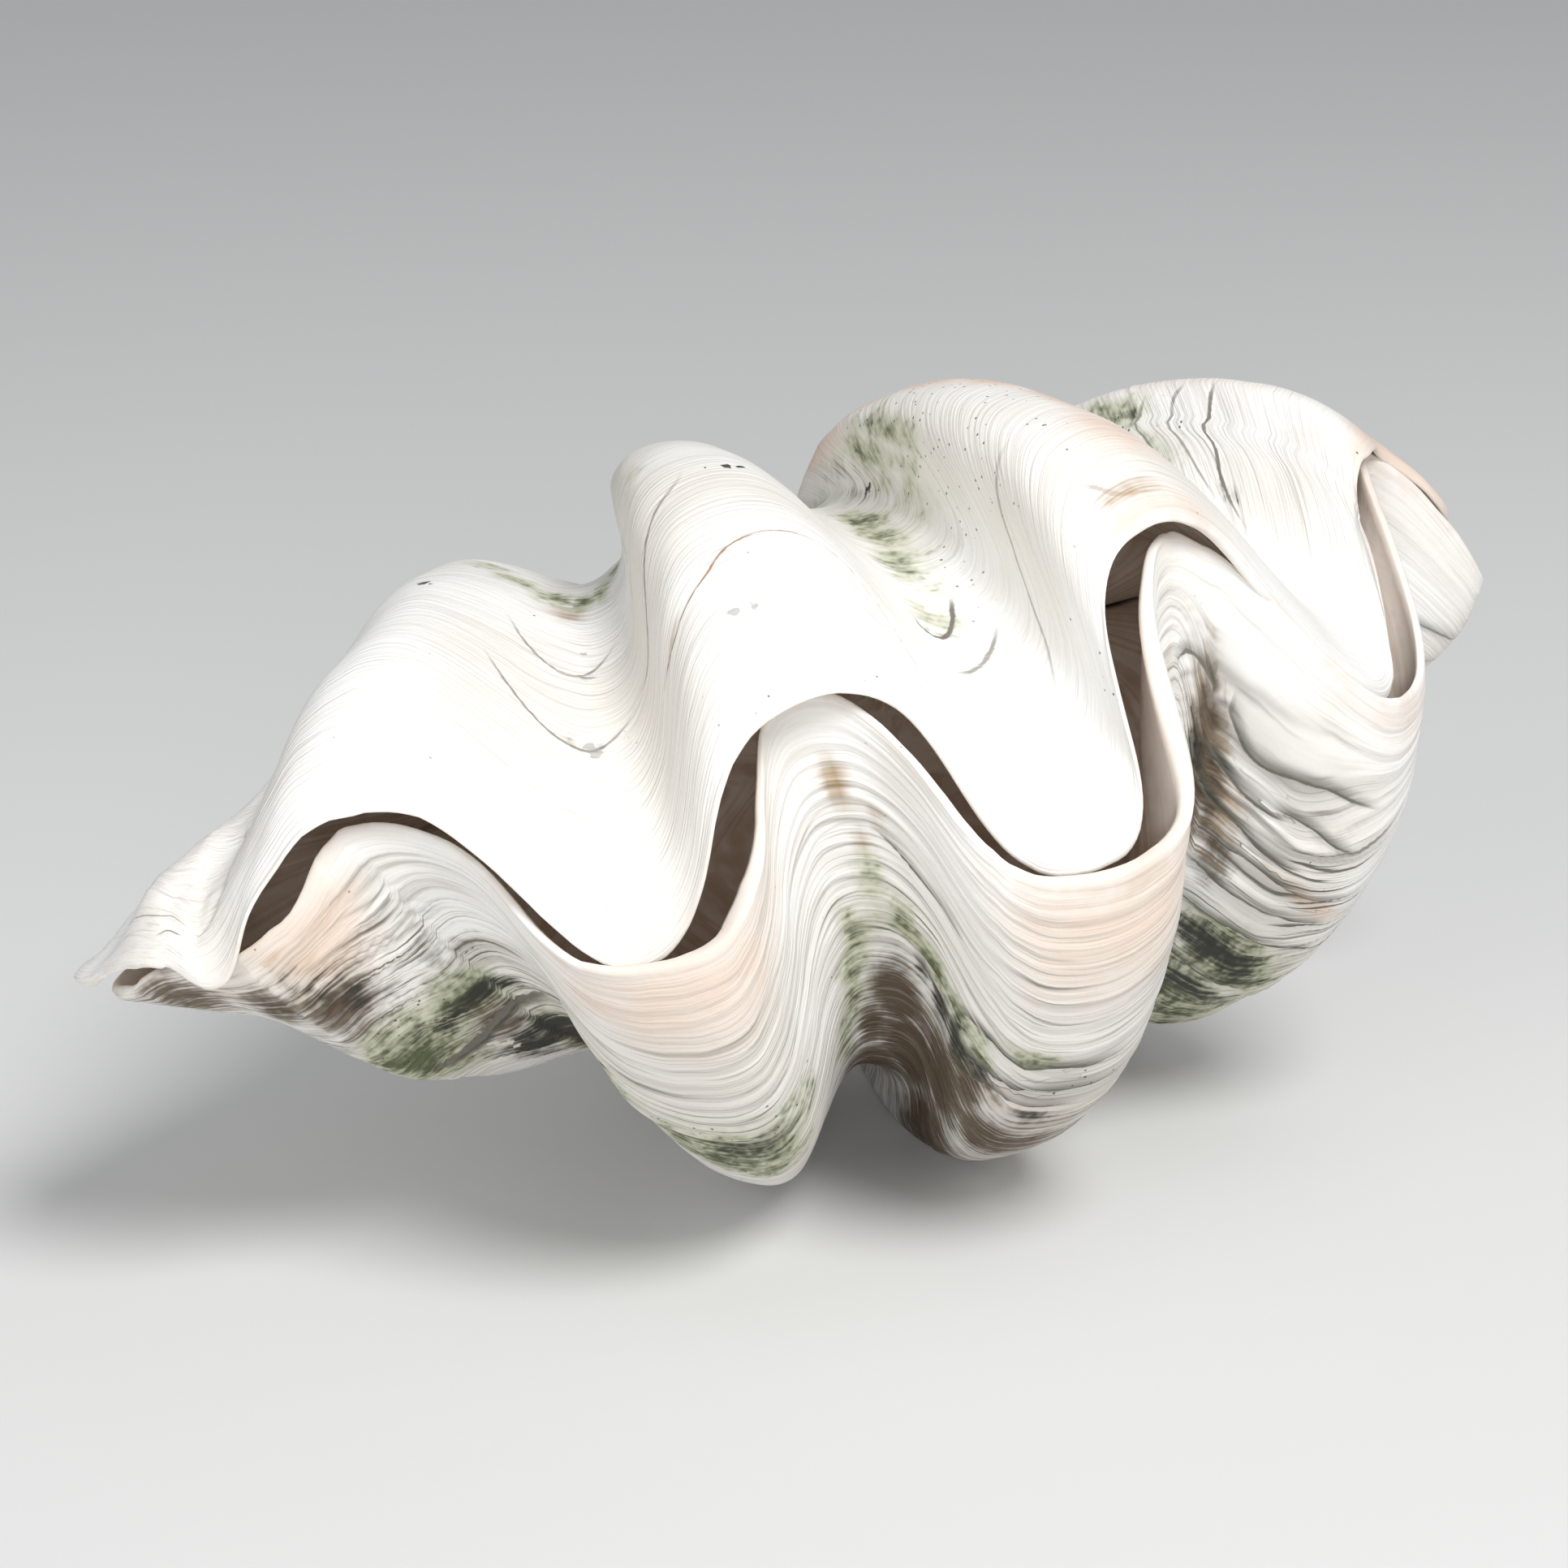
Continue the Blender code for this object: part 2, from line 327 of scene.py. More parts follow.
def roundedLine(folds, ages):
    # corners cut twice, so that a few places make a curve
    line = np.array([folds, ages]).T * (meshPlan["foldLength"], 1.0)
    for _ in range(2):
        cut = [line[0]]
        for a, b in zip(line, line[1:]):
            cut += [a * 0.75 + b * 0.25, a * 0.25 + b * 0.75]
        line = np.array([*cut, line[-1]])
    return line


def scarField(scars, fold, age):
    # ledges left by old broken margins: height, signed distance to the nearest ledge, and how dark
    # its line and the painted shade in its crevice are
    u = fold * meshPlan["foldLength"] + ripple("scarsAcross", fold, age)
    v = age / millimetre + ripple("scarsDown", fold, age)
    height = np.zeros_like(age)
    nearest = np.full_like(age, scarForm["farthest"])
    dark = np.zeros_like(age)
    darkReach, darkEase = scarForm["dark"]
    for folds, ages, tall, slope, shade in scars:
        line = roundedLine(folds, ages)
        best = np.full_like(age, 1000.0)
        signed = np.zeros_like(age)
        taper = np.zeros_like(age)
        length = np.concatenate([[0.0], np.cumsum(np.linalg.norm(np.diff(line, axis=0), axis=1))])
        for k, (a, b) in enumerate(zip(line, line[1:])):
            step = b - a
            run = math.hypot(*step)
            t = np.clip(((u - a[0]) * step[0] + (v - a[1]) * step[1]) / run**2, 0.0, 1.0)
            du, dv = u - a[0] - t * step[0], v - a[1] - t * step[1]
            distance = np.hypot(du, dv)
            closer = distance < best
            best = np.where(closer, distance, best)
            signed = np.where(closer, distance * np.sign(step[0] * dv - step[1] * du), signed)
            along = (length[k] + t * run) / length[-1]
            taper = np.where(closer, smooth(scarForm["taper"] * along * (1.0 - along)), taper)
        edge = smooth(signed / scarForm["edgeWidth"] + 0.5) * (best < scarForm["slopesLong"] * slope)
        height += tall * taper * edge * np.exp(-np.maximum(signed, 0.0) / slope)
        nearer = best < np.abs(nearest)
        nearest = np.where(nearer, signed, nearest)
        dark = np.where(nearer, shade * taper * smooth((darkReach - best) / darkEase), dark)
    nearest = np.clip(nearest, -scarForm["farthest"], scarForm["farthest"])
    return height * millimetre, nearest * millimetre, dark


def shellBend(valve, fold, age):
    # dents and swellings, and the margin bent a little in places, fading back from the edge
    bend = np.zeros((*fold.shape, 3))
    back = age / millimetre
    for place, length, halfWidth, halfLength, x, y, z in valve["dents"]:
        share = hump(fold - place, halfWidth) * hump(back - length, halfLength)
        bend += share[..., None] * (x, y, z)
    for place, halfWidth, x, y, z, reach in valve["lips"]:
        share = hump(fold - place, halfWidth) * np.exp(-back / reach)
        bend += share[..., None] * (x, y, z)
    return bend * millimetre


def growthField(valve, fold, age):
    # the age that the growth lines follow: in places they sweep back faster than the margin does
    growth = age.copy()
    for start, full, ease, end, amount, depth in valve["sweeps"]:
        across = smooth((fold - start) / (full - start)) * smooth((end - fold) / (end - ease))
        growth -= amount * millimetre * across * smooth(age / millimetre / depth)
    return growth


def buildValve(valve):
    steps = meshPlan["stepsPerFold"]
    folds = withHingeEnds(valve)
    points, rates, leans = marginCurve(folds, steps)
    fromHinge = np.arange(len(points)) / steps
    fromHinge = np.minimum(fromHinge, len(folds) - 1 - fromHinge)
    points[:, 2] *= smooth(fromHinge / shellPlan["sealLength"] - shellPlan["sealFlat"])
    beak, innerBeak = beaks()
    turns, lengths = rowTurns()
    columns = evenColumns(points, folds, steps)
    fold = columns / steps
    ends = smooth(np.minimum(fold, len(folds) - 1 - fold) / shellPlan["reliefFade"])

    # the broken edge
    chips = edgeForm["depth"] + ripple("coarseChips", fold, fold) + ripple("fineChips", fold, fold)
    for place, wide, deep in valve["chips"]:
        across = edgeForm["chipEase"] - np.abs(fold - place) / wide
        chips += deep * smooth(across + ripple("chipEdges", fold, fold))
    chips = np.clip(chips, 0.0, None) * millimetre * ends / meshPlan["marginRadius"]

    def marginTurn(turn, trim):
        return turn + trim * (1.0 - turn / turns[-1])

    fullChips = np.interp(np.arange(len(points)), columns, chips)
    outer = []
    for turn in turns:
        line = growthLine(points, rates, leans, beak, valve, marginTurn(turn, fullChips))
        outer.append(pick(line, columns))
    outer = np.array(outer)

    nextTurn = math.radians(shellPlan["lastTurn"]) / shellPlan["nextLine"]
    edge = innerMargin(points, growthLine(points, rates, leans, beak, valve, nextTurn), valve, steps)
    floor = grooveHeights(folds, valve, steps)
    swell = np.zeros(len(points))
    for place, wide, share in valve["rimSwells"]:
        swell += share * hump(np.arange(len(points)) / steps - place, wide)
    innerRows = list(range(0, len(turns), meshPlan["innerEvery"]))
    if innerRows[-1] != len(turns) - 1:
        innerRows.append(len(turns) - 1)
    inner = []
    for row in innerRows:
        turn = turns[row]
        degrees = math.degrees(turn)
        fade = float(smooth(degrees / shellPlan["flutesFadeTurn"])) * shellPlan["flutesFade"]
        thick = float(smooth(degrees / shellPlan["rimThickensBy"]))
        thick = valve["sharpRim"] + (1 - valve["sharpRim"]) * thick
        thick = thick + swell * math.exp(-degrees / shellPlan["swellFades"])
        line = points + (edge - points) * thick[:, None]
        line[:, 2] += (floor - line[:, 2]) * fade
        line = evened(line, shellPlan["evenedReach"] * math.sqrt(fade), steps)
        closesOver = shellPlan["lastTurn"] - shellPlan["cavityClosesFrom"]
        closing = float(smooth((degrees - shellPlan["cavityClosesFrom"]) / closesOver))
        shrink = (1.0 - shellPlan["thickening"] * fade) * (1.0 - shellPlan["cavityClosesBy"] * closing)
        line = growthLine(line, rates, leans, innerBeak, valve, marginTurn(turn, fullChips), shrink)
        inner.append(pick(line, columns))
    inner = np.array(inner)

    # relief of the outer surface
    foldGrid = np.broadcast_to(fold, (len(turns), len(fold)))
    ageGrid = np.broadcast_to(lengths[:, None], foldGrid.shape)
    across = np.gradient(outer, axis=1)
    down = np.gradient(outer, axis=0)
    normal = np.cross(down, across) * valve["side"]
    normal /= np.maximum(np.linalg.norm(normal, axis=2), 1e-12)[:, :, None]
    growth = growthField(valve, foldGrid, ageGrid)
    height, creaseShade = growthSteps(valve, foldGrid, growth)
    rough = edgeForm["evenRoughness"] + ripple("roughness", foldGrid, ageGrid)
    calm = 1.0 - np.minimum(patchField(valve["calm"], foldGrid, ageGrid), 1.0)
    rough = (rough + patchField(valve["rugged"], foldGrid, ageGrid)) * calm
    wave = (ripple("longWaves", foldGrid, ageGrid) + ripple("shortWaves", foldGrid, ageGrid)) * millimetre
    ledge, scar, scarLineAndShade = scarField(valve["scars"], foldGrid, ageGrid)
    lift = (height * rough + wave) * smooth(ageGrid / millimetre / shellPlan["reliefFrom"]) + ledge
    lift = lift * ends * smooth((turns[-1] - turns) / 0.5)[:, None]
    outer = outer + normal * lift[:, :, None]
    outer += shellBend(valve, foldGrid, ageGrid)
    inner += shellBend(valve, foldGrid[innerRows], ageGrid[innerRows])

    # the rim, rounded between the outer and the inner edge
    growing = outer[0] - outer[3]
    growing /= np.maximum(np.linalg.norm(growing, axis=1), 1e-9)[:, None]
    bulge = valve["rimRounding"] * (1.0 + ripple("rimBulge", fold, fold)) * ends
    rim = []
    for i in range(1, meshPlan["rimRows"] + 1):
        t = i / (meshPlan["rimRows"] + 1)
        rounding = bulge * math.sin(math.pi * t) ** 0.6
        rim.append(outer[0] * (1 - t) + inner[0] * t + growing * rounding[:, None])
    rim = np.array(rim)
    outerFields = {"creaseShade": creaseShade * calm, "scar": scar, "scarLineAndShade": scarLineAndShade, "sweep": ageGrid - growth,
                   "calm": calm}
    return assemble(valve, outer, rim, inner, innerRows, fold, lengths, outerFields)


def placeInWorld(points, valve):
    lift = np.array([0.0, 0.0, valve["side"] * shellPlan["valveGap"] / 2.0])
    turn = Euler([math.radians(angle) for angle in shellPlan["lie"]]).to_matrix()
    placed = (points + lift) @ np.array(turn).T + np.array(shellPlan["place"])
    placed[..., 2] = np.maximum(placed[..., 2], shellPlan["floorClearance"])  # worn flat where it stands
    return placed


def assemble(valve, outer, rim, inner, innerRows, fold, lengths, outerFields):
    # one closed mesh: outer surface, rim, inner surface, the two hinge plates, and the beak at both ends
    columnCount = outer.shape[1]
    rows = np.concatenate([outer[::-1], rim, inner])
    verts = rows.reshape(-1, 3)
    index = np.arange(len(verts)).reshape(len(rows), columnCount)
    a, b = index[:-1, :-1].ravel(), index[:-1, 1:].ravel()
    c, d = index[1:, 1:].ravel(), index[1:, :-1].ravel()
    faces = [list(face) for face in zip(a.tolist(), d.tolist(), c.tolist(), b.tolist())]
    outerCount, rimCount = len(outer), len(rim)
    outerTip, innerTip = len(verts), len(verts) + 1
    verts = np.concatenate([verts, beaks()])
    for k in range(columnCount - 1):
        faces.append([outerTip, index[0, k], index[0, k + 1]])
        faces.append([innerTip, index[-1, k + 1], index[-1, k]])
    for column in (0, columnCount - 1):
        outerLine = index[:outerCount, column][::-1].tolist() + [outerTip]
        innerLine = index[outerCount + rimCount:, column].tolist() + [innerTip]
        stations = [*innerRows, outerCount]
        plate = [[outerLine[0], *index[outerCount:outerCount + rimCount, column].tolist(), innerLine[0]]]
        for j in range(len(stations) - 1):
            low, high = stations[j], stations[j + 1]
            middle = (low + high + 1) // 2
            for k in range(low, high):
                across = innerLine[j] if k < middle else innerLine[j + 1]
                plate.append([outerLine[k], outerLine[k + 1], across])
            plate.append([outerLine[middle], innerLine[j + 1], innerLine[j]])
        if column:
            plate = [face[::-1] for face in plate]
        faces.extend(plate)
    if valve["side"] > 0:
        faces = [face[::-1] for face in faces]

    mesh = bpy.data.meshes.new(valve["name"])
    mesh.from_pydata(placeInWorld(verts, valve).tolist(), [], faces)
    mesh.update()

    def perVertex(name, gridValues, tips):
        values = np.concatenate([gridValues.ravel(), tips]).astype(np.float32)
        layer = mesh.attributes.new(name, "FLOAT", "POINT")
        layer.data.foreach_set("value", values)

    foldRows = np.broadcast_to(fold, (len(rows), columnCount))
    ageRows = np.concatenate([lengths[::-1], np.zeros(rimCount), lengths[innerRows]])
    ageRows = np.broadcast_to(ageRows[:, None], foldRows.shape)
    inside = np.concatenate([np.zeros(outerCount), np.linspace(0.25, 0.75, rimCount), np.ones(len(inner))])
    inside = np.broadcast_to(inside[:, None], foldRows.shape)
    perVertex("fold", foldRows, [fold.mean()] * 2)
    perVertex("age", ageRows, [lengths[-1]] * 2)
    perVertex("inside", inside, [0.0, 1.0])
    for name, values in outerFields.items():
        padded = np.zeros(foldRows.shape)
        padded[:outerCount] = values[::-1]
        perVertex(name, padded, [0.0, 0.0])
    for tint, patches in valve["tints"].items():
        perVertex(tint, patchField(patches, foldRows, ageRows), [0.0, 0.0])
    mesh.shade_smooth()
    thing = added(valve["name"], mesh)
    print("   ", valve["name"], len(mesh.polygons), "faces")

    # where each pit lies on the finished surface
    pits = []
    for place, length, radius, colour in valve["pits"]:
        row = int(np.abs(lengths - length * millimetre).argmin())
        column = int(np.abs(fold - place).argmin())
        pits.append((placeInWorld(outer[row, column], valve), radius * millimetre, colour))
    return thing, pits


# Lengths in the lists of both valves are in millimetres; an age is the length back from the margin.
upperValve = {
    "name": "upper_valve_shell",
    "side": 1,
    "power": 1.5,
    "height": 0.76,
    "hingeRate": 0.68,
    # x, y, z, heading in degrees, straight before, straight after, shrink rate, lean
    "folds": [
        (-342, -190, -3, -68, 70, 33, 0.62, 0),
        (-317, -243, 4, -41, 10, 8, 0.48, -6),
        (-303, -258, -8, -41, 10, 30, 0.5, -6),
        (-223, -310, 56, -18, 50, 50, 0.51, -13),
        (-123, -342, -46, -10, 36, 54, 0.53, -18),
        (-22, -379, 57, 8, 84, 80, 0.54, -22),
        (92, -374, -62, -4, 66, 65, 0.66, -18),
        (172, -360, 87, 22, 100, 70, 0.79, -13),
        (318, -266, -48, 44, 55, 45, 0.8, 4),
        (362, -214, 77, 64, 66, 85, 0.79, 19),
        (460, -120, 6, 72, 50, 50, 0.7, 14),
    ],
    "rimRounding": 0.0012,
    "sharpRim": 0.22,  # share of the rim's thickness at the very edge
    "lamellae": {
        "seed": 3,
        "spacing": (3.5, 8.5),
        "fineHeight": (0.04, 0.16),
        "boldHeight": (0.4, 0.9),
        "boldShare": 0.14,
    },
    # fold, half width in folds, depth
    "chips": [(3.72, 0.1, 3), (4.12, 0.16, 3), (8.55, 0.1, 3), (9.75, 0.22, 4), (9.62, 0.05, 7)],
    # fold, half width in folds, how far along x, y and z, how far back from the margin it reaches
    "lips": [
        (0.95, 0.16, 2, -1, -3, 20), (1.2, 0.3, 0, 0, 2, 20), (2.05, 0.35, 0, 0, -3, 20),
        (3.0, 0.3, 4, -2.2, -6, 30), (3.45, 0.2, -4, 2.2, 0, 30), (3.88, 0.12, -1.2, 0.7, 3, 20),
        (4.05, 0.3, 0, 0, -4.5, 40), (5.0, 0.25, 0, 0, -1, 30), (6.05, 0.3, 0, 0, -2, 30),
        (7.2, 0.2, 4, -2.2, 0, 30), (8.45, 0.28, -5.2, 2.9, 0, 30), (9.0, 0.25, 2, -1, 3.5, 30),
        (9.7, 0.3, -6, 3, 0, 30), (10.05, 0.22, 9.6, -5.4, -3, 40), (10.4, 0.4, -1, 0.5, -4.5, 8),
        (10.55, 0.3, 0, 0, 6.5, 40), (11.0, 0.4, -3.5, 2, 4.5, 40),
    ],
    # fold, age, half width in folds, half length, how far along x, y and z
    "dents": [
        (0.95, 60, 0.5, 50, 0, 0, -11), (1.9, 190, 0.7, 70, 0, 0, -18), (1.45, 65, 0.3, 50, 0, 0, 10),
        (2.25, 70, 0.35, 30, 0, 0, -5), (3.2, 60, 0.25, 50, -2, 1, 5), (3.76, 195, 0.35, 60, 0, 0, -13.5),
        (4.62, 330, 0.3, 60, 0, 0, -11), (7.95, 240, 0.25, 70, 0, 0, -4), (10.6, 10, 0.35, 30, 0, 0, 5),
    ],
    # fold, half width in folds, share of the rim's thickness
    "rimSwells": [(0.1, 0.4, 0.45), (8.4, 0.35, 0.2), (11.8, 0.5, 0.8)],
    "sweeps": [],
    # fold, age, half width in folds, half length, strength
    "rugged": [(9.6, 150, 0.5, 60, 0.8), (1.8, 50, 0.8, 50, 0.8)],
    "calm": [(8.2, 120, 0.6, 120, 0.5), (4.2, 100, 1.0, 100, 0.4), (6.0, 100, 0.9, 140, 0.4)],
    # folds and ages along it, height, length of the slope, darkness of line and painted crevice shade
    "scars": [
        ((5.42, 5.53, 5.65, 5.85, 5.93, 6.06, 6.14, 6.23, 6.33, 6.41, 6.46, 6.54, 6.64),
         (105, 98, 93, 93, 103, 110, 111, 112, 112, 108, 90, 72, 78), 1.6, 12, 1.0),
        ((6.76, 6.79, 6.85, 6.93, 6.99), (152, 141, 141, 155, 173), 0.8, 6, 0.7),
        ((6.8, 6.88, 6.96, 7.06), (117, 120, 128, 145), 0.4, 6, 0.45),
        ((7.85, 7.68, 7.49, 7.27, 7.15, 7.08), (95, 110, 125, 130, 106, 85), 0, 4, 0.3),
        ((7.88, 7.93, 7.96, 8.02, 8.12), (45, 31, 23, 19, 20), 0, 4, 0.3),
        ((9.9, 9.71, 9.55, 9.42, 9.28), (150, 168, 173, 169, 160), 0.8, 8, 0.4),
        ((9.92, 9.75, 9.55, 9.36, 9.18), (128, 139, 150, 156, 142), 1.2, 10, 0.6),
        ((9.8, 9.65, 9.5, 9.35), (180, 192, 196, 190), 0.8, 8, 0.4),
        ((4.52, 4.64, 4.81, 4.96, 5.09), (219, 198, 187, 196, 211), 0.6, 6, 0.4),
        ((4.45, 4.58, 4.72, 4.89, 5.09, 5.16), (175, 150, 138, 135, 147, 151), 0.6, 6, 0.45),
        ((5.98, 5.93, 5.78, 5.65, 5.5, 5.35, 5.16), (180, 168, 159, 151, 140, 145, 151), 0.4, 6, 0.4),
        ((1.2, 1.7, 2.3, 2.65), (46, 46, 52, 47), 0.6, 6, 0.35),
        ((1.95, 2.3, 2.6), (29, 36, 38), 0.6, 5, 0.5),
        ((2.77, 2.9, 3.0, 3.08, 3.13, 3.18, 3.15, 3.0), (46, 40, 41, 47, 58, 70, 100, 135), 2.4, 10, 0.4),
    ],
    # fold, age, radius, colour
    "pits": [
        (4.15, 225, 4.4, "umber"), (4.2, 222, 3.6, "umber"), (6.04, 175, 1.8, "soot"),
        (6.09, 175, 2.2, "soot"), (6.14, 176, 1.8, "soot"), (5.91, 62, 1.8, "slate"),
        (5.95, 60, 2.2, "slate"), (7.2, 276, 3.4, "soot"), (7.2, 269, 2.4, "soot"),
        (4.95, 262, 2.2, "soot"), (4.87, 140, 2.2, "slate"), (4.92, 136, 2.6, "slate"),
        (4.9, 207, 2, "slate"),
    ],
    # strength of the dark lines and of the grey bands, width of the scars' lines and reach of the painted
    # shade in their crevices in metres, how striped the algae is
    "look": {"lines": 0.34, "stone": 0.03, "scarWidth": 0.0017, "creviceShade": 0.002, "striped": 0.7},
    # fold, age, half width in folds, half length, strength
    "tints": {
        "algae": [
            (4.33, 280, 0.12, 12, 0.9), (4.52, 266, 0.13, 13, 1.0), (4.72, 259, 0.12, 14, 1.05),
            (4.88, 256, 0.1, 16, 1.05), (5.0, 264, 0.07, 20, 1.0), (5.09, 284, 0.08, 20, 0.9),
            (5.5, 210, 0.22, 30, 0.4), (5.8, 205, 0.12, 20, 0.4), (7.66, 212, 0.14, 34, 0.95),
            (7.5, 245, 0.16, 38, 0.95), (6.94, 240, 0.12, 45, 1.0), (6.9, 205, 0.12, 28, 0.9),
            (6.86, 155, 0.12, 12, 0.8), (7.25, 235, 0.3, 40, 0.5), (9.7, 205, 0.15, 25, 0.9),
            (9.45, 200, 0.2, 30, 0.6), (5.0, 400, 0.35, 90, 0.55), (7.0, 360, 0.4, 80, 0.6),
            (9.0, 300, 0.4, 100, 0.5), (3.2, 330, 0.45, 80, 0.4),
        ],
        "ochre": [
            (4.8, 242, 0.14, 10, 1.0), (9.55, 185, 0.25, 20, 0.25), (5.62, 97, 0.12, 6, 0.5),
            (7.97, 24, 0.12, 8, 0.8), (7.3, 270, 0.25, 30, 0.4),
        ],
        "peach": [
            (7.7, 290, 0.2, 50, 0.9), (7.92, 235, 0.12, 30, 1.0), (8.0, 195, 0.1, 30, 1.1),
            (8.08, 160, 0.1, 25, 1.2), (8.13, 115, 0.1, 30, 1.0), (8.1, 70, 0.14, 30, 0.9),
            (8.0, 10, 0.35, 14, 0.7), (9.78, 70, 0.14, 100, 0.4), (9.9, 150, 0.15, 80, 0.5),
            (10.4, 10, 0.7, 30, 1.0), (1.5, 10, 1.0, 20, 0.3), (6.0, 0, 0.5, 6, 0.35),
        ],
        "umber": [(7.4, 295, 0.2, 20, 0.5), (7.12, 285, 0.12, 20, 0.6)],
        "soot": [
            (4.93, 138, 0.07, 6, 0.75), (4.8, 139, 0.06, 5, 0.6), (4.9, 190, 0.07, 5, 0.5),
            (9.36, 155, 0.05, 20, 0.7), (9.68, 200, 0.04, 10, 1.2), (6.87, 142, 0.08, 5, 0.8),
        ],
        "rust": [(5.95, 105, 0.8, 30, 1.0), (8.0, 22, 0.25, 15, 1.0)],
        "specks": [
            (7.7, 180, 0.4, 110, 1.0), (8.05, 170, 0.14, 70, 1.3), (7.1, 210, 0.25, 70, 0.8),
            (9.6, 200, 0.3, 30, 0.6),
        ],
        # wear, and painted shade over the old back and underside
        "wearAndShade": [(9.6, 170, 0.35, 50, 0.4), (7.2, 250, 0.3, 50, 0.3), (5.0, 360, 6.0, 120, 0.25)],
        "etched": [(9.5, 150, 0.4, 70, 0.8), (4.8, 200, 0.35, 90, 0.35), (1.8, 50, 0.8, 40, 0.45)],
    },
}

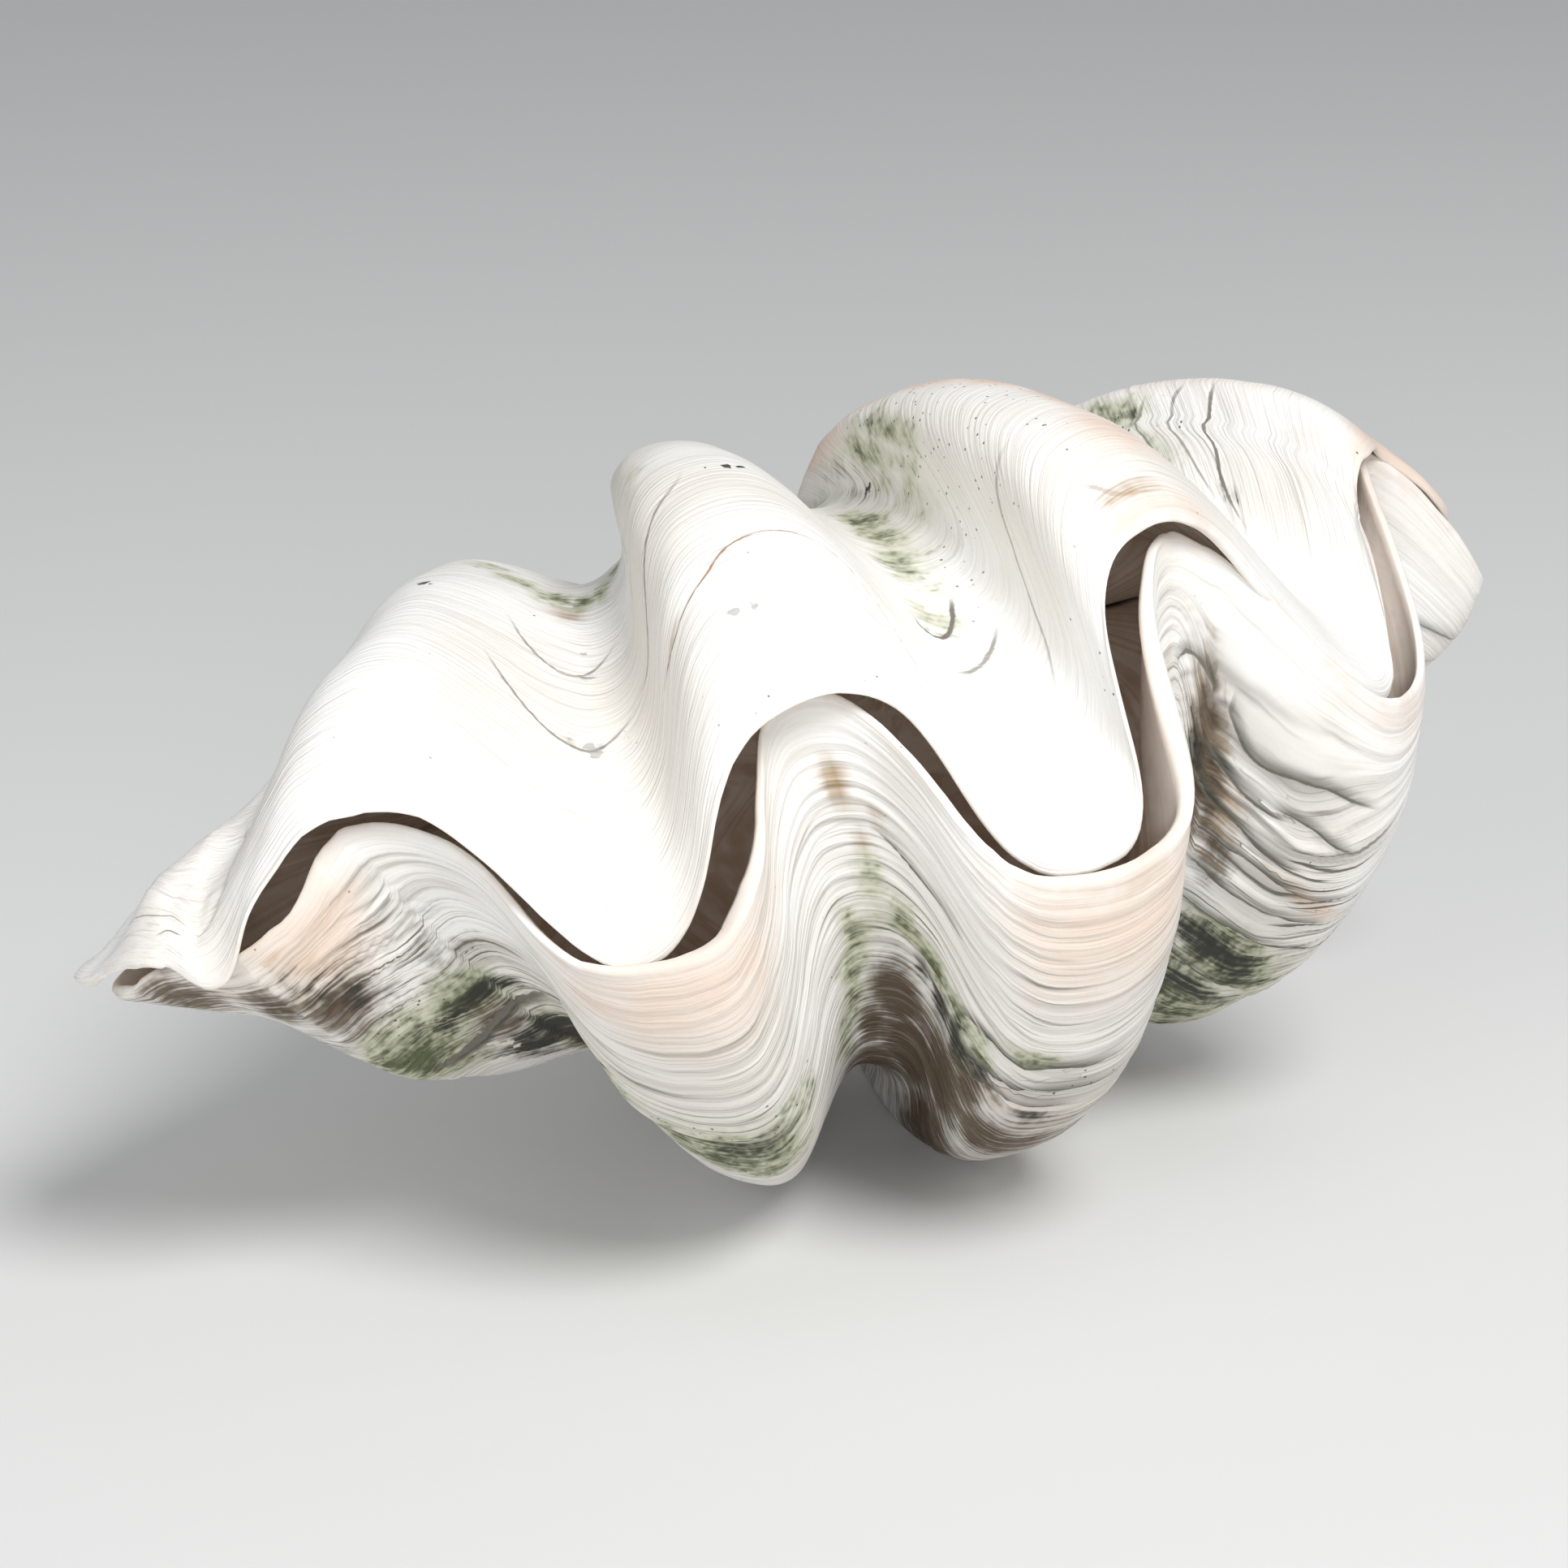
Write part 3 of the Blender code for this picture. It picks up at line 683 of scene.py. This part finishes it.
lowerValve = {
    "name": "lower_valve_shell",
    "side": -1,
    "power": 1.24,
    "height": 1.15,
    "hingeRate": 0.5,
    "folds": [
        (-330, -205, -14, -65, 50, 24, 0.95, 0),
        (-281, -262, -10, -49, 34, 10, 0.62, 9),
        (-226, -292, 42, -16, 12, 70, 0.58, 23),
        (-114, -360, -56, -28, 80, 57, 0.56, 26),
        (-20, -355, 47, -20, 41, 60, 0.61, -2),
        (95, -394, -70, 2, 85, 90, 0.67, -37),
        (184, -336, 73, 25, 53, 27, 0.56, -15),
        (320, -284, -56, 37, 46, 75, 0.48, 10),
        (374, -188, 56, 66, 36, 50, 0.52, 6),
        (469, -120, -22, 68, 40, 60, 0.64, 5),
    ],
    "rimRounding": 0.0022,
    "sharpRim": 0.42,
    "lamellae": {
        "seed": 8,
        "spacing": (3, 7.5),
        "fineHeight": (0.2, 0.6),
        "boldHeight": (1.2, 3),
        "boldShare": 0.28,
    },
    "chips": [(4.5, 0.1, 2), (2.6, 0.3, 2)],
    "lips": [
        (0.95, 0.25, 0, 0, -3, 20), (1.45, 0.35, 0, 0, 8, 30), (2.12, 0.22, -4.4, 2.4, 6.5, 30),
        (2.7, 0.1, -1, 0.5, 3, 12), (2.92, 0.18, 0, 0, 4, 15), (3.4, 0.25, 2, 0, 3, 30),
        (4.0, 0.3, 0, 0, 9, 30), (4.45, 0.25, 4.5, -2.5, 0, 30), (4.85, 0.12, -3, 1.5, 2, 30),
        (5.0, 0.22, 0, 0, 6.5, 30), (6.0, 0.3, 0, 0, 11, 30), (6.22, 0.22, 4, -2.2, -2, 30),
        (6.9, 0.15, 3.5, -2, 4, 30), (7.4, 0.3, 0, 0, 16, 40), (8.0, 0.35, 0, 0, 11, 30),
        (9.0, 0.25, 0, 0, 5, 40), (9.4, 0.7, 4.5, -2.5, 0, 50), (9.38, 0.36, 0, 0, 17.5, 50),
        (9.98, 0.25, -2.2, 1.2, -3, 30), (10.15, 0.3, 0, 0, -6, 50),
    ],
    "dents": [
        (1.15, 40, 0.35, 50, 0, 0, 3), (1.97, 130, 0.25, 30, 0, 0, -4), (3.6, 105, 0.2, 40, -3.5, 2, -4),
        (4.45, 230, 0.25, 40, 0, 0, 6), (7.95, 210, 0.3, 50, 0, 0, 5), (5.22, 170, 0.16, 50, 3, 9, 0),
        (1.5, 75, 0.3, 40, 0, 0, 3), (9.7, 55, 0.3, 30, 4, -2, 0),
    ],
    "rimSwells": [
        (0.2, 0.55, 0.6), (4.25, 0.24, 0.8), (6.0, 0.35, 0.45), (6.55, 0.25, 0.5), (10.8, 0.5, 0.6),
    ],
    # folds where it starts, is full, eases and ends, then how far and over what age
    "sweeps": [(7.02, 7.24, 7.5, 8.3, 55, 100), (2.35, 2.8, 2.9, 3.12, 18, 60)],
    "rugged": [
        (7.5, 130, 0.5, 120, 1.2), (5.8, 100, 0.4, 40, 0.9), (2.8, 100, 0.6, 80, 0.7),
        (4.0, 130, 0.5, 40, 0.6), (5.2, 120, 0.3, 100, 0.5),
    ],
    "calm": [
        (4.0, 20, 0.7, 45, 0.55), (6.0, 20, 0.7, 50, 0.45), (9.5, 40, 0.7, 120, 0.8),
        (2.4, 0, 0.6, 50, 0.6), (7.6, 20, 0.5, 40, 0.6), (5.0, 0, 0.5, 30, 0.5),
    ],
    "scars": [
        ((5.46, 5.57, 5.66, 5.84, 5.9, 6.0, 6.12), (108, 97, 95, 94, 90, 90, 93), 6, 12, 1.0),
        ((5.38, 5.47, 5.66, 5.87, 6.02, 6.14), (132, 128, 119, 108, 107, 110), 5.5, 14, 0.9),
        ((5.45, 5.57, 5.7, 5.87, 6.05), (148, 140, 128, 123, 124), 3, 10, 0.8),
        ((5.08, 5.17, 5.27, 5.4, 5.52), (56, 62, 65, 62, 62), 1, 10, 0.7),
        ((5.16, 5.26, 5.34, 5.44), (118, 124, 130, 134), 1, 10, 1.0),
        ((7.34, 7.31, 7.31, 7.38, 7.45, 7.53, 7.61, 7.75, 7.92),
         (46, 60, 63, 74, 75, 68, 61, 54, 50), 1.7, 7, 0.7),
        ((7.2, 7.27, 7.36, 7.47, 7.58), (80, 87, 93, 95, 88), 2.6, 8, 0.8),
        ((7.5, 7.64, 7.75, 7.84), (88, 82, 84, 78), 2.8, 10, 0.7),
        ((7.14, 7.22, 7.28, 7.39, 7.47, 7.55, 7.68), (95, 104, 112, 111, 115, 116, 107), 3.4, 10, 0.9),
        ((7.2, 7.36, 7.5, 7.64, 7.77, 7.9), (124, 128, 125, 124, 119, 103), 5, 12, 0.8),
        ((7.16, 7.36, 7.53, 7.72, 7.88), (140, 149, 147, 139, 127), 5.5, 12, 0.8),
        ((7.16, 7.39, 7.55, 7.72, 7.92), (166, 170, 166, 160, 148), 6, 12, 0.9),
        ((7.2, 7.4, 7.58, 7.8), (202, 206, 206, 200), 5, 8, 0.9),
        ((7.2, 7.4, 7.65), (232, 230, 222), 4.5, 10, 0.9),
        ((7.04, 7.11, 7.19, 7.25), (52, 46, 47, 56), 0.6, 6, 0.6),
        ((3.2, 3.11, 2.95, 2.7, 2.51, 2.33, 2.15), (124, 130, 144, 146, 152, 150, 140), 4.5, 8, 1.0),
        ((3.6, 3.85, 4.1, 4.35), (125, 122, 124, 130), 2, 8, 0.7),
        ((9.45, 9.62, 9.78, 9.95), (82, 73, 66, 60), 1.8, 10, 0.4),
        ((9.65, 9.8, 9.95), (98, 88, 82), 1.6, 8, 0.3),
    ],
    "pits": [(2.6, 160, 2.8, "bone"), (2.61, 167, 3, "bone"), (2.62, 174, 2.6, "bone")],
    "look": {"lines": 1.05, "stone": 0.2, "scarWidth": 0.0016, "creviceShade": 0.01, "striped": 1.8},
    "tints": {
        "algae": [
            (4.0, 135, 0.4, 34, 1.2), (3.55, 120, 0.28, 60, 0.65), (2.75, 118, 0.33, 24, 1.4),
            (2.25, 128, 0.35, 38, 1.5), (3.1, 200, 0.3, 60, 1.4), (4.94, 118, 0.1, 25, 1.0),
            (4.87, 150, 0.09, 35, 1.1), (4.76, 180, 0.1, 35, 1.0), (5.05, 85, 0.07, 22, 0.85),
            (5.16, 100, 0.08, 14, 1.2), (5.3, 108, 0.1, 14, 1.3), (5.46, 110, 0.09, 14, 1.2),
            (5.6, 110, 0.11, 14, 1.1), (5.85, 86, 0.14, 10, 0.9), (5.5, 140, 0.06, 30, 1.0),
            (7.6, 188, 0.3, 24, 1.4), (7.1, 160, 0.15, 60, 0.7), (7.5, 235, 0.35, 35, 1.4),
            (6.9, 300, 0.5, 80, 0.5), (3.0, 350, 0.4, 100, 0.5), (9.0, 300, 0.4, 100, 0.4),
        ],
        "ochre": [
            (5.02, 37, 0.05, 16, 1.0), (5.05, 64, 0.045, 9, 0.9), (5.12, 50, 0.04, 14, 0.5),
            (7.22, 80, 0.1, 40, 1.0), (7.33, 112, 0.12, 30, 0.9), (7.6, 120, 0.15, 8, 0.5),
            (5.75, 150, 0.4, 22, 0.4), (2.35, 30, 0.25, 30, 0.5), (6.98, 50, 0.06, 20, 0.5),
            (6.05, 4, 0.14, 8, 0.5), (1.4, 30, 0.5, 40, 0.6),
        ],
        "peach": [
            (4.05, 18, 0.55, 32, 0.75), (6.05, 20, 0.5, 40, 0.75), (2.45, 25, 0.4, 45, 0.85),
            (9.0, 0, 0.8, 15, 0.5), (8.0, 0, 0.5, 30, 0.5), (7.75, 122, 0.18, 8, 0.9),
            (5.85, 130, 0.4, 20, 0.4), (1.5, 20, 0.8, 30, 0.4),
        ],
        # umber: brown stains, and painted shade in the hollows, the low flanks and under the tip
        "umber": [
            (5.1, 160, 0.15, 35, 1.6), (5.2, 205, 0.26, 60, 1.6), (5.45, 175, 0.25, 38, 1.5),
            (5.8, 162, 0.3, 30, 1.2), (5.58, 146, 0.16, 18, 1.2), (6.2, 175, 0.3, 40, 0.8),
            (4.98, 250, 0.35, 60, 1.3), (4.96, 190, 0.1, 40, 1.3), (5.55, 235, 0.35, 50, 1.4),
            (3.12, 220, 0.36, 70, 1.4), (7.21, 90, 0.07, 30, 1.3), (7.23, 70, 0.05, 30, 1.2),
            (7.27, 105, 0.07, 35, 1.2), (7.19, 118, 0.08, 22, 1.2), (7.34, 135, 0.1, 18, 1.0),
            (7.28, 66, 0.045, 14, 0.9), (7.1, 240, 0.2, 70, 0.9), (1.35, 25, 0.45, 30, 1.0),
            (1.9, 38, 0.28, 20, 1.1), (2.28, 60, 0.28, 26, 1.25), (2.75, 150, 0.3, 30, 1.0),
            (1.8, 80, 0.5, 20, 0.6),
        ],
        # soot: black marks, and painted shade in the crevices under ledges and along the lowest parts
        "soot": [
            (2.2, 27, 0.1, 12, 1.0), (2.3, 44, 0.12, 14, 1.05), (2.4, 62, 0.12, 14, 1.1),
            (2.52, 78, 0.1, 12, 0.9), (3.02, 119, 0.12, 12, 1.2), (2.85, 123, 0.18, 12, 1.3),
            (2.6, 122, 0.18, 11, 1.2), (2.4, 112, 0.15, 10, 0.9), (2.98, 172, 0.22, 22, 1.7),
            (2.72, 182, 0.24, 24, 1.6), (3.1, 205, 0.2, 45, 1.7), (5.22, 127, 0.06, 10, 1.1),
            (5.34, 131, 0.09, 13, 1.5), (5.46, 131, 0.08, 16, 1.4), (5.6, 126, 0.12, 8, 1.2),
            (4.05, 125, 0.35, 14, 0.9), (7.17, 95, 0.06, 24, 1.3), (7.5, 187, 0.34, 13, 1.4),
            (7.55, 219, 0.34, 10, 1.4), (7.4, 250, 0.35, 20, 1.0), (1.9, 90, 0.3, 20, 0.5),
            (5.9, 132, 0.18, 6, 0.9), (2.85, 80, 0.28, 35, 0.65), (7.24, 60, 0.05, 12, 0.9),
        ],
        "rust": [],
        "specks": [(4.0, 125, 0.5, 40, 0.9), (6.0, 108, 0.16, 12, 1.3), (2.3, 110, 0.5, 50, 0.8)],
        # wear, and painted shade over the old, lower parts
        "wearAndShade": [
            (2.6, 100, 0.8, 90, 0.6), (7.35, 120, 0.35, 100, 0.65), (5.2, 180, 0.3, 120, 0.8),
            (5.8, 130, 0.5, 40, 0.5), (4.0, 110, 0.6, 50, 0.4), (5.0, 340, 6.0, 120, 0.5),
        ],
        "etched": [
            (2.8, 80, 0.6, 70, 1.0), (5.9, 60, 0.5, 60, 0.4), (7.5, 120, 0.6, 120, 0.75),
            (4.0, 90, 0.6, 60, 0.35), (5.1, 90, 0.3, 50, 0.5),
        ],
    },
}


class Wire:
    # one socket of a material; arithmetic on it adds Math nodes
    def __init__(self, tree, socket=None):
        self.tree = tree
        self.socket = socket

    def node(self, kind, settings, inputs, output=0):
        made = self.tree.nodes.new(kind)
        for name, value in settings.items():
            setattr(made, name, value)
        for name, value in inputs.items():
            if isinstance(value, Wire):
                self.tree.links.new(value.socket, made.inputs[name])
            else:
                made.inputs[name].default_value = value
        return Wire(self.tree, made.outputs[output])

    def maths(self, operation, *values):
        return self.node("ShaderNodeMath", {"operation": operation}, dict(enumerate(values)))

    def __add__(self, other):
        return self.maths("ADD", self, other)

    __radd__ = __add__

    def __sub__(self, other):
        return self.maths("SUBTRACT", self, other)

    def __rsub__(self, other):
        return self.maths("SUBTRACT", other, self)

    def __mul__(self, other):
        return self.maths("MULTIPLY", self, other)

    __rmul__ = __mul__

    def __abs__(self):
        return self.maths("ABSOLUTE", self)

    def ease(self, low, high):
        # 0 at low, 1 at high, smooth between
        settings = {"interpolation_type": "SMOOTHSTEP"}
        inputs = {"Value": self, "From Min": low, "From Max": high, "To Min": 0.0, "To Max": 1.0}
        if low > high:
            inputs.update({"From Min": high, "From Max": low, "To Min": 1.0, "To Max": 0.0})
        return self.node("ShaderNodeMapRange", settings, inputs)

    def limit(self):
        return self.node("ShaderNodeClamp", {}, {"Value": self})

    def larger(self, other):
        return self.maths("MAXIMUM", self, other)


def blend(amount, first, second):
    # two colours, each a socket or the name of a finish
    inputs = {0: amount}
    for slot, colour in ((6, first), (7, second)):
        inputs[slot] = colour if isinstance(colour, Wire) else (*shellFinish[colour], 1.0)
    return amount.node("ShaderNodeMix", {"data_type": "RGBA"}, inputs, 2)


def attribute(start, name):
    return start.node("ShaderNodeAttribute", {"attribute_type": "GEOMETRY", "attribute_name": name}, {}, 2)


def grain(vector, scale, detail=2.0, rough=0.5):
    inputs = {"Vector": vector, "Scale": scale, "Detail": detail, "Roughness": rough}
    return vector.node("ShaderNodeTexNoise", {"noise_dimensions": "3D"}, inputs)


def ontoShell(x, y, z):
    return x.node("ShaderNodeCombineXYZ", {}, {0: x, 1: y, 2: z})


# sizes of the grain, as waves a metre and, for bands and lines, across a fold or their width
shellGrain = {
    "sway": (22.0, 0.0028),  # and how far the lines sway, in metres
    "cloud": 9.0,
    "mottle": 44.0,
    "speckle": 190.0,
    "flecks": 170.0,
    "bands": (95.0, 1.1),
    "fineBands": (420.0, 2.0),
    "boldLines": (110.0, 0.15),
    "fineLines": (330.0, 0.16),
}

# how far clouds, streaks and dots break up a stain, then where it starts and where it is full
stainForm = {
    "peach": (0.7, 0.5, 0.0, 0.1, 1.3),
    "ochre": (0.9, 1.6, 0.0, 0.2, 1.5),
    "paleAlgae": (1.6, 0.6, 0.5, 0.15, 1.1),
    "umber": (0.9, 2.4, 0.4, 0.2, 1.4),
    "soot": (1.4, 2.2, 0.8, 0.4, 1.7),
}

shellFinish = {
    "white": (0.88, 0.87, 0.845),
    "cream": (0.80, 0.76, 0.70),
    "stone": (0.44, 0.41, 0.375),
    "peach": (0.77, 0.61, 0.50),
    "algae": (0.095, 0.110, 0.055),
    "paleAlgae": (0.48, 0.50, 0.34),
    "ochre": (0.36, 0.24, 0.12),
    # umber and pale umber: brown stain that also serves as painted shade
    "umber": (0.085, 0.058, 0.036),
    "paleUmberAndShade": (0.17, 0.13, 0.09),
    # black marks, also used as painted shade in crevices and low parts
    "soot": (0.030, 0.030, 0.023),
    "slate": (0.30, 0.30, 0.29),
    "bone": (0.74, 0.67, 0.60),
    "line": (0.16, 0.145, 0.125),
    "rust": (0.40, 0.20, 0.095),
    # painted shade in the crevice under each ledge
    "creviceShade": (0.060, 0.062, 0.042),
    "innerEdge": (0.84, 0.75, 0.67),
    "innerPale": (0.98, 0.90, 0.82),
    # brown further in: stain and painted shade of the hollow
    "innerBrownAndShade": (0.74, 0.59, 0.47),
}


def shellMaterial(name, pits, look):
    material = bpy.data.materials.new(name)
    material.use_nodes = True
    tree = material.node_tree
    start = Wire(tree)
    surface = tree.nodes["Principled BSDF"]
    fold, age, inside, creaseShade = (attribute(start, key) for key in ("fold", "age", "inside", "creaseShade"))
    spot = start.node("ShaderNodeTexCoord", {}, {}, 3)
    waves, farthest = shellGrain["sway"]
    drift = age - attribute(start, "sweep") + (grain(spot, waves) - 0.5) * farthest

    def growthBands(perMetre, perFold, seed):
        return grain(ontoShell(drift * perMetre, fold * perFold, seed), 1.0)

    def growthLines(perMetre, width, seed):
        # long thin lines parallel to the margin, each fading in and out along its length
        slow = grain(ontoShell(drift * (perMetre * 0.3), fold * 0.7, seed), 1.0, 1.0)
        stripe = drift * perMetre + slow * 4.0
        place = ontoShell(drift * (perMetre * 0.8), fold * 1.6, seed + 5.0)
        present = grain(place, 1.0, 0.0).ease(0.42, 0.66)
        return (abs(stripe.maths("FRACT", stripe) - 0.5)).ease(width, 0.0) * present

    cloud = grain(spot, shellGrain["cloud"])
    mottle = grain(spot, shellGrain["mottle"], 2.0, 0.65)
    speckle = grain(spot, shellGrain["speckle"], 1.0, 0.7)
    bands = growthBands(*shellGrain["bands"], 2.0)
    fineBands = growthBands(*shellGrain["fineBands"], 4.0)
    streaks = fineBands.ease(0.43, 0.30)
    boldLines = growthLines(*shellGrain["boldLines"], 1.0)
    fineLines = growthLines(*shellGrain["fineLines"], 3.0)

    cloudy, streaky, dotted = mottle - 0.5, fineBands - 0.5, speckle - 0.5

    def stain(tint, form):
        # a tint broken up by clouds, by streaks along the growth lines and by dots
        clouded, striped, speckled, low, high = form
        field = attribute(start, tint)
        broken = field * 1.2 + cloudy * clouded + streaky * striped
        if speckled:
            broken = broken + dotted * speckled
        return broken.ease(low, high) * field.ease(0.03, 0.3)

    # the ground colour, in bands along the growth lines, greyed by wear and by painted shade over the old
    # underside
    wearAndShade, etched = attribute(start, "wearAndShade"), attribute(start, "etched")
    colour = blend(cloud.ease(0.35, 0.7), "white", "cream")
    stone = bands.ease(0.44, 0.72) * (wearAndShade * 0.9 + look["stone"])
    stone = stone + fineBands.ease(0.52, 0.76) * look["stone"]
    colour = blend((stone + wearAndShade * 0.15).limit(), colour, "stone")
    colour = blend(stain("peach", stainForm["peach"]), colour, "peach")
    ochre = blend(streaks, "ochre", "umber")
    colour = blend(stain("ochre", stainForm["ochre"]), colour, ochre)

    # dark growth lines, painted shade at the foot of each lamella and a little wear along the edge
    patchy = cloud.ease(0.36, 0.60) * 0.6 + 0.4
    patchy = patchy * age.ease(-0.03, 0.06) * (attribute(start, "calm") * 0.8 + 0.2)
    lines = boldLines * (etched * 1.8 + 0.2) + fineLines * 0.4
    lines = lines + streaks * (etched * 1.3 + 0.12) + creaseShade * 0.45
    colour = blend((lines * patchy * look["lines"]).limit(), colour, "line")
    colour = blend(age.ease(0.007, 0.0) * mottle.ease(0.4, 0.6) * 0.5, colour, "bone")

    # algae and dirt in spots and along the lines; umber and soot also paint shade into hollows and crevices
    colour = blend(stain("algae", stainForm["paleAlgae"]) * 0.8, colour, "paleAlgae")
    thickAlgae = (2.4, look["striped"], 1.5, 0.65, 1.8)
    colour = blend(stain("algae", thickAlgae), colour, "algae")
    # brown stain, partly painted shade in the hollows and under the ridges
    umber = blend(fineBands.ease(0.48, 0.66), "umber", "paleUmberAndShade")
    colour = blend(stain("umber", stainForm["umber"]), colour, umber)
    # black marks, partly painted shade in the crevices and the lowest parts
    colour = blend(stain("soot", stainForm["soot"]), colour, "soot")

    # ledges of old broken margins, with painted shade in the crevice in front of each
    scar, scarLineAndShade = attribute(start, "scar"), attribute(start, "scarLineAndShade")
    scarWidth = speckle * look["scarWidth"] + 0.0002
    scarLine = (scarWidth - abs(scar + 0.0004)).ease(-0.0004, 0.0005) * scarLineAndShade.ease(0.0, 0.75)
    rust = attribute(start, "rust")
    creviceShade = scar.ease(-look["creviceShade"], -0.0005) * scar.ease(0.0008, 0.0)
    creviceShade = creviceShade * scarLineAndShade * fineBands.ease(0.76, 0.50)
    colour = blend(creviceShade * (1.0 - rust), colour, "creviceShade")
    scarColour = blend(rust, "line", "rust")
    colour = blend(scarLine * 0.9, colour, scarColour)

    # small black specks of boring worms and lichen, and the larger pits
    inputs = {"Vector": spot, "Scale": shellGrain["flecks"]}
    near = start.node("ShaderNodeTexVoronoi", {"feature": "F1"}, inputs)
    fleck = near.ease(0.17, 0.08) * (cloudy + attribute(start, "specks") * 0.35).ease(0.12, 0.22)
    colour = blend(fleck * 0.85, colour, "soot")
    ragged = cloudy * 0.012 + dotted * 0.010
    for tint in sorted({pit[2] for pit in pits}):
        pitted = None
        for place, radius, _ in [pit for pit in pits if pit[2] == tint]:
            inputs = {0: spot, 1: tuple(place)}
            away = start.node("ShaderNodeVectorMath", {"operation": "DISTANCE"}, inputs, 1)
            one = (away + ragged).ease(radius, radius * 0.6)
            pitted = one if pitted is None else pitted.larger(one)
        colour = blend(pitted * (0.6 if tint == "slate" else 0.95), colour, tint)

    # the inside: pale at the edge, then brown in layers, partly stain and partly painted shade of the
    # hollow
    layered = (mottle.ease(0.34, 0.66) + bands.ease(0.40, 0.62) * 1.4 - streaks * 0.5) * 0.5
    deep = blend(layered.limit(), "innerBrownAndShade", "innerPale")
    depth = (age + (mottle - 0.5) * 0.02).ease(0.008, 0.050)
    innerColour = blend(depth, "innerEdge", deep)
    colour = blend(inside.ease(0.55, 0.98), colour, innerColour)

    outsideShare = 1.0 - inside.ease(0.4, 0.9)
    relief = fineBands * outsideShare + speckle * 0.2 + mottle * 0.4
    bump = start.node("ShaderNodeBump", {}, {"Strength": 0.8, "Distance": 0.0012, "Height": relief})
    for name, wire in (("Base Color", colour), ("Normal", bump), ("Roughness", speckle * 0.25 + 0.55)):
        tree.links.new(wire.socket, surface.inputs[name])
    surface.inputs["Specular IOR Level"].default_value = 0.35
    return material


valves = ((upperValve, "upper_valve", "upper_shell"), (lowerValve, "lower_valve", "lower_shell"))
for valve, node, slot in valves:
    print("building", valve["name"])
    piece, pits = buildValve(valve)
    piece.data.materials.append(shellMaterial(valve["name"] + "_finish", pits, valve["look"]))
    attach(piece, "root")
    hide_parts(node)

# floor, light and camera
studio = {
    "floorSize": 60.0,
    "floorColour": (0.70, 0.70, 0.69),
    "skyColour": (0.90, 0.92, 0.95),
    "skyStrength": 0.42,
    "target": (-0.0773, -0.0712, 0.2367),
    "cameraAzimuth": -29.1,
    "cameraElevation": 18.04,
    "cameraDistance": 2.2,
    "lens": 104.5,
    # name, azimuth, elevation, distance, size, power
    "lamps": [
        ("key", 2.0, 52.0, 5.0, 2.2, 205.0),
        ("fill", -60.0, 24.0, 5.0, 3.0, 40.0),
        ("front", -27.0, 14.0, 5.0, 1.2, 56.0),
    ],
}


def around(azimuth, elevation, distance):
    a, e = math.radians(azimuth), math.radians(elevation)
    direction = Vector((math.sin(a) * math.cos(e), -math.cos(a) * math.cos(e), math.sin(e)))
    return Vector(studio["target"]) + direction * distance


def aimed(thing, place):
    thing.location = place
    thing.rotation_euler = (Vector(studio["target"]) - place).to_track_quat("-Z", "Y").to_euler()


def buildStudio():
    half = studio["floorSize"] / 2.0
    mesh = bpy.data.meshes.new("floor")
    corners = [(-half, -half, 0), (half, -half, 0), (half, half, 0), (-half, half, 0)]
    mesh.from_pydata(corners, [], [(0, 1, 2, 3)])
    material = bpy.data.materials.new("floor")
    material.use_nodes = True
    surface = material.node_tree.nodes["Principled BSDF"]
    surface.inputs["Base Color"].default_value = (*studio["floorColour"], 1.0)
    surface.inputs["Roughness"].default_value = 0.9
    mesh.materials.append(material)
    added("floor", mesh)

    world = bpy.data.worlds.new("studio")
    world.use_nodes = True
    background = world.node_tree.nodes["Background"]
    background.inputs["Color"].default_value = (*studio["skyColour"], 1.0)
    background.inputs["Strength"].default_value = studio["skyStrength"]
    bpy.context.scene.world = world

    for name, azimuth, elevation, distance, size, power in studio["lamps"]:
        light = bpy.data.lights.new(name, "AREA")
        light.shape = "DISK"
        light.size = size
        light.energy = power
        aimed(added(name, light), around(azimuth, elevation, distance))

    lensed = bpy.data.cameras.new("camera")
    lensed.lens = studio["lens"]
    lensed.sensor_width = 36.0
    camera = added("camera", lensed)
    aimed(camera, around(studio["cameraAzimuth"], studio["cameraElevation"], studio["cameraDistance"]))
    bpy.context.scene.camera = camera
    bpy.context.scene.view_settings.view_transform = "Standard"


buildStudio()
print("studio set")
